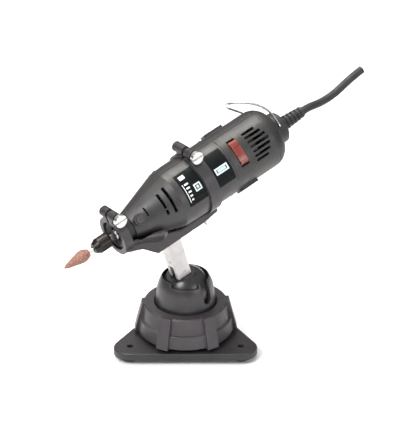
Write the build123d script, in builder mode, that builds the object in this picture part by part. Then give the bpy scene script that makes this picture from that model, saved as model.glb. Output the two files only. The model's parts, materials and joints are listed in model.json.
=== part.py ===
from build123d import *
from math import acos, atan2, cos, degrees, hypot, radians, sin, sqrt
import os

# Rotary tool held in a two-ring clamp on a ball-jointed stand. Millimetres, +Z up.
# The origin is on the stand's axis, at the bottom of the rubber feet.

# ---- Fits and fasteners ----
FIT = 0.05  # radial clearance of a running fit
THREAD_R = 2.0  # M4 clamp screws
SMALL_SCREW_R = 1.5  # M3 screws
LOOSE = 0.1  # gap between faces that slide past each other
SMALL_HEAD_R = 2.9  # heads of the M3 screws
SMALL_SINK_R = 3.2  # counterbores for those heads

# ---- Stand ----
FOOT_HEIGHT = 5.0
FOOT_R = 8.0
PLATE_THICK = 6.3
CORNER_DISTANCE = 56.0  # stand axis to each mounting hole
CORNER_R = 14.5
MOUNT_HOLE_R = 2.75
PLATE_TOP = FOOT_HEIGHT + PLATE_THICK

PEDESTAL_R = 31.0
PEDESTAL_BORE_R = 23.5
PEDESTAL_TOP = 31.0
PEDESTAL_FLOOR = PLATE_TOP + 3.0
PEDESTAL_SCREW_CIRCLE = 27.2
PAD_BOTTOM = 28.5

COLLAR_BOTTOM = 15.2
COLLAR_STEP = 27.0
COLLAR_TOP = 41.8
COLLAR_TOP_R = 36.0
COLLAR_BAND_R = 38.6
COLLAR_SKIRT_R = 42.0
RIB_COUNT = 6
RIB_WIDTH = 11.0
RIB_FOOT_R = 45.5
RIB_TOP_R = 38.5
RIB_TURN = 3.0

BALL_HEIGHT = 52.8
BALL_R = 22.4
DOME_R = 25.0
SOCKET_R = 26.6
SOCKET_SHOULDER = 44.0  # top of the straight wall, below the taper to the dome
FLANGE_THICK = 3.5
OPENING_R = 20.4  # round mouth in the top of the dome
WINDOW_WIDTH = 24.0
WINDOW_BOTTOM = 63.4
SLOT_WIDTH = 9.0
SLOT_BOTTOM = 47.0
SLOT_HEADING = -40.0  # degrees from +X, seen from above
PAD_RIM = 42.0

# ---- Post ----
TOOL_HEADING = 37.0  # direction of the tail, degrees from +X
NOSE_DROP = 16.5  # tool axis below level, and so the lean of the post
POST_WIDTH = 14.0
POST_BOTTOM = 18.5  # heights along the post are measured from the ball's centre
POST_TOP = 57.9
SPIGOT_R = 6.5
SPIGOT_TOP = 62.1
WASHER_THICK = 1.0
POST_SCREW_R = 2.5
POST_HEAD_THICK = 2.6
DRIFT_HOLE_HEIGHT = 35.0
DRIFT_HOLE_R = 1.1
TONGUE_THICK = 6.0
TONGUE_WIDTH = 12.0
TONGUE_TOP = 30.0
PIN_HEIGHT = 24.5
PIN_R = 2.0

# ---- Tool, lengths along its axis from the post, positive to the tail ----
TOOL_HEIGHT = 94.2  # ball centre to tool axis
BODY_R = 27.2
WALL = 2.4
NOSE_FRONT = -34.5
NOSE_R = 12.6
SHOULDER = 8.5
SHOULDER_R = 26.5
BODY_START = 20.0
CAP_START = 112.0
CAP_END = 125.5
BOSS_R = 15.0
BOSS_END = 136.0
PANEL_ANGLE = 40.0  # the switch faces this far above the near side
SHAFT_R = 3.0

LABELS = ((14.0, 33.6), (45.6, 64.0))  # start and end of each plate
LABEL_TOP_ANGLE = 68.0
LABEL_SWEEP = 66.0
LABEL_DEPTH = 0.4
HOUSING_SCREWS = ((13.0, 17.5), (13.0, -17.5), (62.0, 19.5), (62.0, -19.5))  # along, height
FRONT_SLOTS = (-6.3, -3.9)
SHOULDER_SLOTS = (0.3, 2.9)
GRILLE_SLOTS = 7
GRILLE_START = 88.4
GRILLE_LENGTH = 20.4  # middle slot
GRILLE_PITCH = 9.4  # degrees
GRILLE_SLOT_WIDTH = 2.6

SWITCH_PLACE = 76.5
SWITCH_WIDTH = 7.5
SWITCH_ARC = 45.0  # degrees of the body that the knob spans
SWITCH_TRAVEL = 4.0  # degrees either way

BRUSH_PLACE = 78.0
BRUSH_ANGLES = (PANEL_ANGLE + 90, PANEL_ANGLE - 90)
BRUSH_CAP_R = 4.5

LOCK_PLACE = -28.0
LOCK_ANGLE = 35.0
LOCK_BUTTON_R = 3.4
LOCK_PIN_R = 1.5

# ---- Motor and working end, along the tool ----
FRONT_BEARING = -22.0
REAR_BEARING = 90.0
BEARING_WIDTH = 6.0
BEARING_R = 8.0
BEARING_BALLS = 7
BEARING_BALL_R = 0.9
BEARING_PITCH_R = 5.65
FAN_START = 1.0
FAN_BLADES = 9
FAN_R = 16.5
CORE_START = 22.0
CORE_LENGTH = 32.0
CORE_R = 12.5
COMMUTATOR_START = 72.0
COMMUTATOR_LENGTH = 12.0
COMMUTATOR_R = 8.0
WINDING_SLOTS = 12
NUT_BACK = -55.0
NUT_R = 6.8
NUT_FLUTES = 12
STONE_BACK = -76.7
STONE_R = 5.4
SHANK_R = 1.59

# ---- Hanger and cord ----
HANGER_PLACE = BOSS_END - 8.0
HANGER_WIRE_R = 1.0
HANGER_HALF = 17.0  # pivot ends of the loop, either side of the tool's axis
HANGER_RISE = 41.0  # tip of the loop out from the axis
HANGER_REACH = 24.0  # tip of the loop ahead of its pivot
CORD_R = 3.5
CORD_START = 118.0
RELIEF_RIBS = 6
RELIEF_RIB_R = 6.6

# ---- Holder ----
FRONT_RING = -46.5
FRONT_RING_WIDTH = 8.0
FRONT_BORE_R = 13.5
FRONT_RING_R = 18.0
FRONT_LUG_HEIGHT = 20.5
REAR_RING = 39.5
REAR_RING_WIDTH = 11.0
REAR_RING_R = 29.2
REAR_LUG_HEIGHT = 32.1
LUG_R = 4.6
LUG_GAP = 3.0
NEAR_LUG_REACH = 8.0
FRONT_FAR_REACH = 8.6
REAR_FAR_REACH = 13.5
INSERT_R = 3.15
INSERT_LENGTH = 5.8
INSERT_PLACE = -9.4
ARM_WIDTH = 20.0
ARM_BOTTOM = 58.0  # heights along the post
NECK_R = 20.5
NECK_END = -16.0
RING_SCREW_TIP = 66.4
RING_SCREW_HEAD = 48.6

# ---- Directions and planes that follow the tilted tool ----
ball_centre = Vector(0, 0, BALL_HEIGHT)
tail_dir = Vector(1, 0, 0).rotate(Axis.Y, -NOSE_DROP).rotate(Axis.Z, TOOL_HEADING)
post_dir = Vector(0, 0, 1).rotate(Axis.Y, -NOSE_DROP).rotate(Axis.Z, TOOL_HEADING)
near_dir = tail_dir.cross(post_dir)


def holder_point(along, height, near=0):
    """A point given along the tool, up the post and out to the near side."""
    return ball_centre + tail_dir * along + post_dir * height + near_dir * near


def side_plane(near=0, along=0, height=0):
    """Faces the near side: x runs to the tail and y up the post."""
    return Plane(origin=holder_point(along, height, near), x_dir=tail_dir, z_dir=near_dir)


def post_plane(height, along=0):
    """Square to the post: x runs to the tail and y to the far side."""
    return Plane(origin=holder_point(along, height), x_dir=tail_dir, z_dir=post_dir)


def tool_plane(along):
    """Square to the tool axis, facing the tail: x runs to the far side and y up the post."""
    return Plane(origin=holder_point(along, TOOL_HEIGHT), x_dir=near_dir * -1, z_dir=tail_dir)


def outward(angle):
    """Direction out of the tool, an angle above its near side."""
    return near_dir * cos(radians(angle)) + post_dir * sin(radians(angle))


def skin_plane(along, radius, angle):
    """Faces out of the tool: x runs to the tail and y round the body."""
    origin = holder_point(along, TOOL_HEIGHT) + outward(angle) * radius
    return Plane(origin=origin, x_dir=tail_dir, z_dir=outward(angle))


def radial_plane(angle):
    """Holds the tool axis: x runs to the tail and y outward at the angle."""
    return Plane(
        origin=holder_point(0, TOOL_HEIGHT),
        x_dir=tail_dir,
        z_dir=tail_dir.cross(outward(angle)),
    )


tool_axis = Axis(holder_point(0, TOOL_HEIGHT), tail_dir)
tool_axis_reversed = Axis(holder_point(0, TOOL_HEIGHT), tail_dir * -1)


# ---- Shapes used many times, each added to the part that is open ----
def add_disc(plane, radius, length, bore=0.0, mode=Mode.ADD):
    """A disc or tube that grows from the plane."""
    with BuildSketch(plane) as face:
        Circle(radius)
        if bore:
            Circle(bore, mode=Mode.SUBTRACT)
    extrude(face.sketch, amount=length, mode=mode)


def add_bar(plane, width, height, length, corner=0.0, mode=Mode.ADD):
    """A rectangular bar that grows from the plane."""
    with BuildSketch(plane) as face:
        if corner:
            RectangleRounded(width, height, corner)
        else:
            Rectangle(width, height)
    extrude(face.sketch, amount=length, mode=mode)


def add_turned(plane, axis, outline, arc=360.0, mode=Mode.ADD):
    """A closed outline of (along, radius) points turned about an axis."""
    with BuildSketch(plane) as face:
        with BuildLine():
            Polyline(*outline, close=True)
        make_face()
    revolve(face.sketch, axis=axis, revolution_arc=arc, mode=mode)


def add_band(start, end, inner, outer, top_angle, sweep, mode=Mode.ADD):
    """Part of a ring about the tool axis, going down from top_angle."""
    outline = [(start, inner), (end, inner), (end, outer), (start, outer)]
    add_turned(radial_plane(top_angle), tool_axis, outline, sweep, mode)


def add_coil(plane, radius, wire, pitch, height):
    """A coil spring that grows from the plane."""
    with BuildLine() as coil:
        Helix(pitch=pitch, height=height, radius=radius, center=plane.origin, direction=plane.z_dir)
    with BuildSketch(Plane(origin=coil.line @ 0, z_dir=coil.line % 0)) as section:
        Circle(wire)
    sweep(section.sketch, path=coil.line, is_frenet=True)


def write(part, name):
    """Label one finished piece and write it to its own file."""
    part.label = name
    export_step(part, f"parts/{name}.step")


os.makedirs("parts", exist_ok=True)

# =====================================================================
# Stand
# =====================================================================
with BuildPart() as base_plate:
    with BuildSketch(Plane.XY.offset(FOOT_HEIGHT)):
        RegularPolygon(CORNER_DISTANCE, 3, rotation=90)
        offset(amount=CORNER_R)
    extrude(amount=PLATE_THICK)
    fillet(base_plate.faces().sort_by(Axis.Z)[-1].edges(), radius=1.6)
    # Through holes for the bench screws.
    with BuildSketch(Plane.XY.offset(FOOT_HEIGHT)):
        with PolarLocations(CORNER_DISTANCE, 3, start_angle=90):
            Circle(MOUNT_HOLE_R)
    extrude(amount=PLATE_THICK, mode=Mode.SUBTRACT)
    # Counterbored clearance holes for the pedestal's screws.
    with BuildSketch(Plane.XY.offset(FOOT_HEIGHT)):
        with PolarLocations(PEDESTAL_SCREW_CIRCLE, 3, start_angle=30):
            Circle(SMALL_SCREW_R + FIT)
    extrude(amount=PLATE_THICK, mode=Mode.SUBTRACT)
    with BuildSketch(Plane.XY.offset(FOOT_HEIGHT)):
        with PolarLocations(PEDESTAL_SCREW_CIRCLE, 3, start_angle=30):
            Circle(SMALL_SINK_R)
    extrude(amount=2.6, mode=Mode.SUBTRACT)

with BuildPart() as rubber_feet:
    with BuildSketch(Plane.XY):
        with PolarLocations(CORNER_DISTANCE, 3, start_angle=90):
            Circle(FOOT_R)
    extrude(amount=FOOT_HEIGHT, taper=-6)
    with BuildSketch(Plane.XY):
        with PolarLocations(CORNER_DISTANCE, 3, start_angle=90):
            Circle(MOUNT_HOLE_R)
    extrude(amount=FOOT_HEIGHT, mode=Mode.SUBTRACT)

with BuildPart() as pedestal:
    add_disc(Plane.XY.offset(PLATE_TOP), PEDESTAL_R, PEDESTAL_TOP - PLATE_TOP)
    bore_depth = PEDESTAL_TOP - PEDESTAL_FLOOR
    add_disc(Plane.XY.offset(PEDESTAL_FLOOR), PEDESTAL_BORE_R, bore_depth, mode=Mode.SUBTRACT)
    # Thread grooves under the collar.
    with BuildSketch(Plane.XZ):
        with Locations(*[(PEDESTAL_R, COLLAR_BOTTOM + 3.0 * turn) for turn in range(1, 5)]):
            Rectangle(1.6, 1.2)
    revolve(axis=Axis.Z, mode=Mode.SUBTRACT)
    with BuildSketch(Plane.XY.offset(PLATE_TOP)):
        with PolarLocations(PEDESTAL_SCREW_CIRCLE, 3, start_angle=30):
            Circle(SMALL_SCREW_R + FIT)
    extrude(amount=12, mode=Mode.SUBTRACT)

with BuildPart() as pedestal_screws:
    with BuildSketch(Plane.XY.offset(FOOT_HEIGHT + 0.4)):
        with PolarLocations(PEDESTAL_SCREW_CIRCLE, 3, start_angle=30):
            Circle(SMALL_HEAD_R)
    extrude(amount=2.2)
    with BuildSketch(Plane.XY.offset(FOOT_HEIGHT + 2.6)):
        with PolarLocations(PEDESTAL_SCREW_CIRCLE, 3, start_angle=30):
            Circle(SMALL_SCREW_R)
    extrude(amount=14)

flange_top = PEDESTAL_TOP + FLANGE_THICK
collar_outline = [
    (PEDESTAL_R + LOOSE, COLLAR_BOTTOM),
    (COLLAR_SKIRT_R, COLLAR_BOTTOM),
    (COLLAR_SKIRT_R - 1.2, COLLAR_STEP),
    (COLLAR_BAND_R, COLLAR_STEP + 0.8),
    (COLLAR_TOP_R + 0.8, COLLAR_TOP - 1.2),
    (COLLAR_TOP_R - 0.6, COLLAR_TOP),
    (SOCKET_R + 1.6, COLLAR_TOP),
    (SOCKET_R + 0.6, COLLAR_TOP - 1.0),
    (SOCKET_R + 0.6, flange_top + LOOSE),
    (PEDESTAL_R + LOOSE, flange_top + LOOSE),
]
rib_outline = [
    (PEDESTAL_R + 2.0, COLLAR_BOTTOM - 0.4),
    (RIB_FOOT_R, COLLAR_BOTTOM - 0.4),
    (RIB_TOP_R, COLLAR_TOP + 0.4),
    (PEDESTAL_R + 2.0, COLLAR_TOP + 0.4),
]
with BuildPart() as locking_collar:
    add_turned(Plane.XZ, Axis.Z, collar_outline)
    # Six tapered grip ribs round the skirt.
    for rib in range(RIB_COUNT):
        heading = RIB_TURN + 360 / RIB_COUNT * rib
        rib_plane = Plane.XZ.rotated((0, 0, heading))
        with BuildSketch(rib_plane):
            with BuildLine():
                Polyline(*rib_outline, close=True)
            make_face()
        extrude(amount=RIB_WIDTH / 2, both=True)

# The cup's wall tapers from its shoulder until it touches the dome.
shoulder_drop = BALL_HEIGHT - SOCKET_SHOULDER
touch_angle = degrees(acos(DOME_R / hypot(SOCKET_R, shoulder_drop)) - atan2(shoulder_drop, SOCKET_R))
touch_point = (DOME_R * cos(radians(touch_angle)), BALL_HEIGHT + DOME_R * sin(radians(touch_angle)))
with BuildPart() as socket_cup:
    with BuildSketch(Plane.XZ):
        with BuildLine():
            Polyline(
                (0, PEDESTAL_TOP),
                (PEDESTAL_R - 0.2, PEDESTAL_TOP),
                (PEDESTAL_R - 0.2, flange_top),
                (SOCKET_R, flange_top),
                (SOCKET_R, SOCKET_SHOULDER),
                touch_point,
            )
            CenterArc((0, BALL_HEIGHT), DOME_R, touch_angle, 90 - touch_angle)
            Line((0, BALL_HEIGHT + DOME_R), (0, PEDESTAL_TOP))
        make_face()
    revolve(axis=Axis.Z)
    # Hollow with a running fit round the upper half of the ball.
    with BuildSketch(Plane.XZ):
        with BuildLine():
            ball_line = BALL_R + FIT
            Polyline((0, PEDESTAL_TOP), (PEDESTAL_BORE_R, PEDESTAL_TOP), (PEDESTAL_BORE_R, 46.0))
            Line((PEDESTAL_BORE_R, 46.0), (ball_line, BALL_HEIGHT - 3.0))
            Line((ball_line, BALL_HEIGHT - 3.0), (ball_line, BALL_HEIGHT))
            CenterArc((0, BALL_HEIGHT), ball_line, 0, 90)
            Line((0, BALL_HEIGHT + ball_line), (0, PEDESTAL_TOP))
        make_face()
    revolve(axis=Axis.Z, mode=Mode.SUBTRACT)
    # Round mouth, front window and deep side slot.
    add_disc(Plane.XY.offset(BALL_HEIGHT + 10), OPENING_R, 20, mode=Mode.SUBTRACT)
    window_plane = Plane(origin=(0, 0, WINDOW_BOTTOM), x_dir=(1, 0, 0), z_dir=(0, 0, 1))
    with BuildSketch(window_plane):
        with Locations((0, -DOME_R / 2)):
            Rectangle(WINDOW_WIDTH, DOME_R + 4)
    extrude(amount=20, mode=Mode.SUBTRACT)
    slot_out = Vector(1, 0, 0).rotate(Axis.Z, SLOT_HEADING)
    slot_plane = Plane(origin=(0, 0, SLOT_BOTTOM), x_dir=(0, 0, 1), z_dir=slot_out)
    with BuildSketch(slot_plane):
        with Locations((20 + SLOT_WIDTH / 2, 0)):
            Rectangle(40, SLOT_WIDTH)
        with Locations((SLOT_WIDTH / 2, 0)):
            Circle(SLOT_WIDTH / 2)
    extrude(amount=40, mode=Mode.SUBTRACT)

with BuildPart() as friction_pad:
    with BuildSketch(Plane.XZ):
        with BuildLine():
            seat_r = BALL_R + FIT
            pad_r = PEDESTAL_BORE_R - LOOSE
            rim_r = sqrt(seat_r**2 - (BALL_HEIGHT - PAD_RIM) ** 2)
            Polyline((0, PAD_BOTTOM), (pad_r, PAD_BOTTOM), (pad_r, PAD_RIM), (rim_r, PAD_RIM))
            ThreePointArc(
                (rim_r, PAD_RIM),
                (seat_r * sin(radians(30)), BALL_HEIGHT - seat_r * cos(radians(30))),
                (0, BALL_HEIGHT - seat_r),
            )
            Line((0, BALL_HEIGHT - seat_r), (0, PAD_BOTTOM))
        make_face()
    revolve(axis=Axis.Z)

with BuildPart() as pad_spring:
    add_coil(Plane.XY.offset(PEDESTAL_FLOOR + 1.2), 16.0, 1.1, 3.8, 11.4)

# =====================================================================
# Ball and post
# =====================================================================
with BuildPart() as swivel_ball:
    with BuildSketch(side_plane()):
        with BuildLine():
            CenterArc((0, 0), BALL_R, -90, 180)
            Line((0, BALL_R), (0, -BALL_R))
        make_face()
    revolve(axis=Axis(ball_centre, post_dir))
    # Flat seat for the post, with the tongue left standing in it.
    add_disc(post_plane(POST_BOTTOM), BALL_R, 10, mode=Mode.SUBTRACT)
    with BuildSketch(side_plane()):
        with Locations((0, TONGUE_TOP / 2 - 1)):
            RectangleRounded(TONGUE_WIDTH, TONGUE_TOP + 2, 3.0)
    extrude(amount=TONGUE_THICK / 2, both=True)
    add_disc(side_plane(-10, 0, PIN_HEIGHT), PIN_R + FIT, 20, mode=Mode.SUBTRACT)

with BuildPart() as stem_post:
    add_bar(post_plane(POST_BOTTOM + LOOSE), POST_WIDTH, POST_WIDTH, POST_TOP - POST_BOTTOM - LOOSE, 0.8)
    add_disc(post_plane(POST_TOP), SPIGOT_R, SPIGOT_TOP - POST_TOP)
    # Fork slot over the tongue, rounded at its top.
    with BuildSketch(side_plane(0, 0, POST_BOTTOM)):
        with Locations((0, (TONGUE_TOP + 0.6 - POST_BOTTOM) / 2)):
            Rectangle(POST_WIDTH + 2, TONGUE_TOP + 0.6 - POST_BOTTOM)
    extrude(amount=TONGUE_THICK / 2 + FIT, both=True, mode=Mode.SUBTRACT)
    add_disc(side_plane(-10, 0, PIN_HEIGHT), PIN_R + FIT, 20, mode=Mode.SUBTRACT)
    # Drift hole in the front face and the tapped hole in the top.
    drift_plane = Plane(origin=holder_point(-POST_WIDTH, DRIFT_HOLE_HEIGHT), x_dir=near_dir, z_dir=tail_dir)
    add_disc(drift_plane, DRIFT_HOLE_R, 12, mode=Mode.SUBTRACT)
    add_disc(post_plane(SPIGOT_TOP - 18), POST_SCREW_R + FIT, 20, mode=Mode.SUBTRACT)

with BuildPart() as stem_pin:
    add_disc(side_plane(-POST_WIDTH / 2 + 0.1, 0, PIN_HEIGHT), PIN_R, POST_WIDTH - 0.2)

with BuildPart() as post_washer:
    add_disc(post_plane(SPIGOT_TOP), 8.0, WASHER_THICK, POST_SCREW_R + LOOSE)

with BuildPart() as post_screw:
    add_disc(post_plane(SPIGOT_TOP + WASHER_THICK), 5.0, POST_HEAD_THICK)
    add_disc(post_plane(SPIGOT_TOP - 16), POST_SCREW_R, 16 + WASHER_THICK)
    add_disc(post_plane(SPIGOT_TOP + WASHER_THICK + 1.2), 2.0, POST_HEAD_THICK, mode=Mode.SUBTRACT)

# =====================================================================
# Holder: arm, clamp rings and their screws
# =====================================================================
body_outline = [
    (NOSE_FRONT, 0),
    (NOSE_FRONT, NOSE_R),
    (SHOULDER, SHOULDER_R),
    (BODY_START, BODY_R),
    (CAP_START, BODY_R),
    (CAP_START, 0),
]


def build_ring(place, width, bore, outer, lug_height, far_reach):
    """Split clamp band with a pair of screw lugs over the gap."""
    start = place - width / 2
    add_disc(tool_plane(start), outer, width)
    lug_line = TOOL_HEIGHT + lug_height
    near_start = LUG_GAP / 2
    for side in (1, -1):
        reach = NEAR_LUG_REACH if side > 0 else far_reach
        plane = side_plane(side * near_start, place, lug_line)
        add_disc(plane, LUG_R, side * reach)
        with BuildSketch(plane) as web:
            with Locations((0, -LUG_R)):
                Rectangle(2 * LUG_R - 1.0, 2 * LUG_R)
        extrude(web.sketch, amount=side * reach * 0.7)
        # Turned groove near the end of the lug.
        groove_plane = side_plane(side * (near_start + reach - 3.2), place, lug_line)
        add_disc(groove_plane, LUG_R + 1, side * 0.9, LUG_R - 0.5, mode=Mode.SUBTRACT)
    add_disc(tool_plane(start - 1), bore, width + 2, mode=Mode.SUBTRACT)
    # The split, the screw's clearance hole and the insert's pocket.
    split_plane = side_plane(-LUG_GAP / 2, place, TOOL_HEIGHT + outer + 4)
    add_bar(split_plane, width + 8, 26, LUG_GAP, mode=Mode.SUBTRACT)
    add_disc(side_plane(-12, place, lug_line), THREAD_R + FIT, 30, mode=Mode.SUBTRACT)
    insert_plane = side_plane(INSERT_PLACE - LOOSE, place, lug_line)
    add_disc(insert_plane, INSERT_R + FIT, INSERT_LENGTH + 2 * LOOSE, mode=Mode.SUBTRACT)


with BuildPart() as holder_arm:
    with BuildSketch(side_plane()):
        with BuildLine():
            Polyline(
                (FRONT_RING, 86.0),
                (NOSE_FRONT, 84.0),
                (SHOULDER, 67.0),
                (REAR_RING + REAR_RING_WIDTH / 2 + 3, 66.4),
                (REAR_RING + REAR_RING_WIDTH / 2 + 3, ARM_BOTTOM + 2.5),
                (REAR_RING - REAR_RING_WIDTH / 2 - 3, ARM_BOTTOM),
                (-19.0, ARM_BOTTOM),
                (-32.0, 71.5),
                (FRONT_RING, 77.5),
                close=True,
            )
        make_face()
    extrude(amount=ARM_WIDTH / 2, both=True)
    side_edges = holder_arm.edges().filter_by(lambda edge: abs(edge.tangent_at(0.5).dot(near_dir)) < 0.1)
    fillet(side_edges, radius=2.0)
    # Half-round neck that carries the front ring.
    neck_outline = [
        (FRONT_RING, 15.0),
        (FRONT_RING, FRONT_RING_R - 0.7),
        (-38.0, FRONT_RING_R - 0.8),
        (-28.0, NECK_R),
        (NECK_END, NECK_R + 6.0),
        (NECK_END + 4.0, NECK_R + 5.0),
        (NECK_END, 15.0),
    ]
    add_turned(radial_plane(-22), tool_axis, neck_outline, 136)
    # Room for the tool's nose and body and for the rear ring.
    clear_outline = [
        (-60, 0),
        (-60, FRONT_BORE_R + 0.6),
        (-38, FRONT_BORE_R + 0.6),
        (-34.5, 18.2),
        (-21, 19.2),
        (SHOULDER - 18, 24.0),
        (SHOULDER, BODY_R + 0.8),
        (70, BODY_R + 0.8),
        (70, 0),
    ]
    add_turned(side_plane(0, 0, TOOL_HEIGHT), tool_axis, clear_outline, mode=Mode.SUBTRACT)
    build_ring(FRONT_RING, FRONT_RING_WIDTH, FRONT_BORE_R, FRONT_RING_R, FRONT_LUG_HEIGHT, FRONT_FAR_REACH)
    rear_half = REAR_RING_WIDTH / 2 + LOOSE
    rear_outline = [
        (REAR_RING - rear_half, 0),
        (REAR_RING - rear_half, REAR_RING_R),
        (REAR_RING + rear_half, REAR_RING_R),
        (REAR_RING + rear_half, 0),
    ]
    add_turned(side_plane(0, 0, TOOL_HEIGHT), tool_axis, rear_outline, mode=Mode.SUBTRACT)
    # Pivot bore over the post and the counterbore for its washer.
    add_disc(post_plane(40), SPIGOT_R + FIT, 30, mode=Mode.SUBTRACT)
    add_disc(post_plane(SPIGOT_TOP - LOOSE), 8.6, 20, mode=Mode.SUBTRACT)
    # Screw hole up into the rear ring.
    add_disc(post_plane(50, REAR_RING), SMALL_SCREW_R + FIT, 20, mode=Mode.SUBTRACT)

with BuildPart() as rear_clamp_ring:
    build_ring(REAR_RING, REAR_RING_WIDTH, BODY_R + FIT, REAR_RING_R, REAR_LUG_HEIGHT, REAR_FAR_REACH)
    add_disc(post_plane(60, REAR_RING), SMALL_SCREW_R + FIT, 10, mode=Mode.SUBTRACT)


def build_clamp_screw(place, lug_height):
    """Slotted thumb screw, its head on the near side."""
    lug_line = TOOL_HEIGHT + lug_height
    add_disc(side_plane(INSERT_PLACE, place, lug_line), THREAD_R, 10 - INSERT_PLACE)
    add_disc(side_plane(9.6, place, lug_line), 3.0, 3.0)
    add_disc(side_plane(12.6, place, lug_line), 5.6, 3.6)
    add_bar(side_plane(15.2, place, lug_line), 12.0, 1.3, 2.0, mode=Mode.SUBTRACT)


with BuildPart() as front_clamp_screw:
    build_clamp_screw(FRONT_RING, FRONT_LUG_HEIGHT)

with BuildPart() as rear_clamp_screw:
    build_clamp_screw(REAR_RING, REAR_LUG_HEIGHT)

with BuildPart() as clamp_inserts:
    for place, lug_height in ((FRONT_RING, FRONT_LUG_HEIGHT), (REAR_RING, REAR_LUG_HEIGHT)):
        insert_plane = side_plane(INSERT_PLACE, place, TOOL_HEIGHT + lug_height)
        add_disc(insert_plane, INSERT_R, INSERT_LENGTH, THREAD_R + FIT)

# Thumb screw under the arm, up into the rear ring.
with BuildPart() as ring_screw:
    add_disc(post_plane(RING_SCREW_HEAD, REAR_RING), 2.6, 1.6)
    add_disc(post_plane(RING_SCREW_HEAD + 1.6, REAR_RING), 3.4, ARM_BOTTOM - RING_SCREW_HEAD - 1.7)
    add_disc(post_plane(ARM_BOTTOM - 0.1, REAR_RING), SMALL_SCREW_R, RING_SCREW_TIP - ARM_BOTTOM)

# =====================================================================
# Tool housing
# =====================================================================
inner_outline = [
    (NOSE_FRONT - 1, 0),
    (NOSE_FRONT - 1, NOSE_R - WALL),
    (NOSE_FRONT, NOSE_R - WALL),
    (SHOULDER, SHOULDER_R - WALL),
    (BODY_START, BODY_R - WALL),
    (CAP_START + 1, BODY_R - WALL),
    (CAP_START + 1, 0),
]


def build_shell(axis, side):
    """Half of the body shell with bearing webs and screw bosses; side is +1 near, -1 far."""
    section = side_plane(0, 0, TOOL_HEIGHT)
    add_turned(section, axis, body_outline, 180)
    add_turned(section, axis, inner_outline, 180, Mode.SUBTRACT)
    for start, reach in ((FRONT_BEARING, 15.2), (REAR_BEARING, BODY_R - 1)):
        web = [
            (start, BEARING_R + 0.02),
            (start + BEARING_WIDTH, BEARING_R + 0.02),
            (start + BEARING_WIDTH, reach),
            (start, reach),
        ]
        add_turned(section, axis, web, 180)
    # Shadow groove along the joint of the two halves.
    with BuildSketch(section) as seam:
        for up in (1, -1):
            with BuildLine():
                Polyline(
                    (NOSE_FRONT, up * (NOSE_R - 0.4)),
                    (SHOULDER, up * (SHOULDER_R - 0.4)),
                    (BODY_START, up * (BODY_R - 0.4)),
                    (CAP_START, up * (BODY_R - 0.4)),
                    (CAP_START, up * (BODY_R + 1)),
                    (NOSE_FRONT, up * (BODY_R + 1)),
                    close=True,
                )
            make_face()
    extrude(seam.sketch, amount=side * 0.3, mode=Mode.SUBTRACT)
    for along, height in HOUSING_SCREWS:
        boss_plane = side_plane(0, along, TOOL_HEIGHT + height)
        boss_length = sqrt((BODY_R - WALL) ** 2 - height**2) + 0.2
        add_disc(boss_plane, 3.4, side * boss_length)


with BuildPart() as housing_near:
    build_shell(tool_axis, 1)
    # Raised saddle round the switch and the pad round the lower brush cap.
    add_band(66, 86, BODY_R - WALL, BODY_R + 0.5, PANEL_ANGLE + 46, 92)
    add_bar(skin_plane(BRUSH_PLACE, 24.0, BRUSH_ANGLES[1]), 20, 13, 5.2, 3)
    # Bezel of the shaft lock.
    add_disc(skin_plane(LOCK_PLACE, 7.0, LOCK_ANGLE), 4.3, 6.0)
    add_disc(skin_plane(LOCK_PLACE, 12.6, LOCK_ANGLE), 5.2, 3.8)
    # Opening for the switch.
    opening_sweep = SWITCH_ARC + 2 * SWITCH_TRAVEL + 2
    opening_start = SWITCH_PLACE - SWITCH_WIDTH / 2 - 0.45
    opening_end = SWITCH_PLACE + SWITCH_WIDTH / 2 + 0.45
    opening_top = PANEL_ANGLE + opening_sweep / 2
    add_band(opening_start, opening_end, 20, BODY_R + 3, opening_top, opening_sweep, Mode.SUBTRACT)
    # Shallow seats for the two label plates.
    for start, end in LABELS:
        seat_r = BODY_R - LABEL_DEPTH - FIT
        add_band(start, end, seat_r, BODY_R + 3, LABEL_TOP_ANGLE, LABEL_SWEEP, Mode.SUBTRACT)
    # Air slots round the shoulder.
    add_band(*SHOULDER_SLOTS, 18, 30, 66, 60, Mode.SUBTRACT)
    add_band(*FRONT_SLOTS, 16, 28, 62, 38, Mode.SUBTRACT)
    add_band(*FRONT_SLOTS, 16, 28, 21, 12, Mode.SUBTRACT)
    # Slot behind the lock bezel.
    add_band(-20.9, -19.5, 13.0, 22, 58, 28, Mode.SUBTRACT)
    # Rear grille of lengthwise slots, shorter towards the edges.
    for slot in range(GRILLE_SLOTS):
        from_middle = slot - (GRILLE_SLOTS - 1) / 2
        angle = PANEL_ANGLE - 5 + GRILLE_PITCH * from_middle
        slot_length = GRILLE_LENGTH - 0.75 * from_middle**2
        with BuildSketch(skin_plane(GRILLE_START + slot_length / 2, BODY_R - 4, angle)):
            SlotOverall(slot_length, GRILLE_SLOT_WIDTH)
        extrude(amount=8, mode=Mode.SUBTRACT)
    # Bores: shaft lock, lower brush and screw pilots.
    add_disc(skin_plane(LOCK_PLACE, 8.6, LOCK_ANGLE), LOCK_BUTTON_R + LOOSE, 12, mode=Mode.SUBTRACT)
    add_disc(skin_plane(LOCK_PLACE, 3.0, LOCK_ANGLE), LOCK_PIN_R + LOOSE, 12, mode=Mode.SUBTRACT)
    add_disc(skin_plane(BRUSH_PLACE, 18.0, BRUSH_ANGLES[1]), BRUSH_CAP_R + LOOSE, 14, mode=Mode.SUBTRACT)
    for along, height in HOUSING_SCREWS:
        add_disc(side_plane(-1, along, TOOL_HEIGHT + height), SMALL_SCREW_R + FIT, 9, mode=Mode.SUBTRACT)

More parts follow.
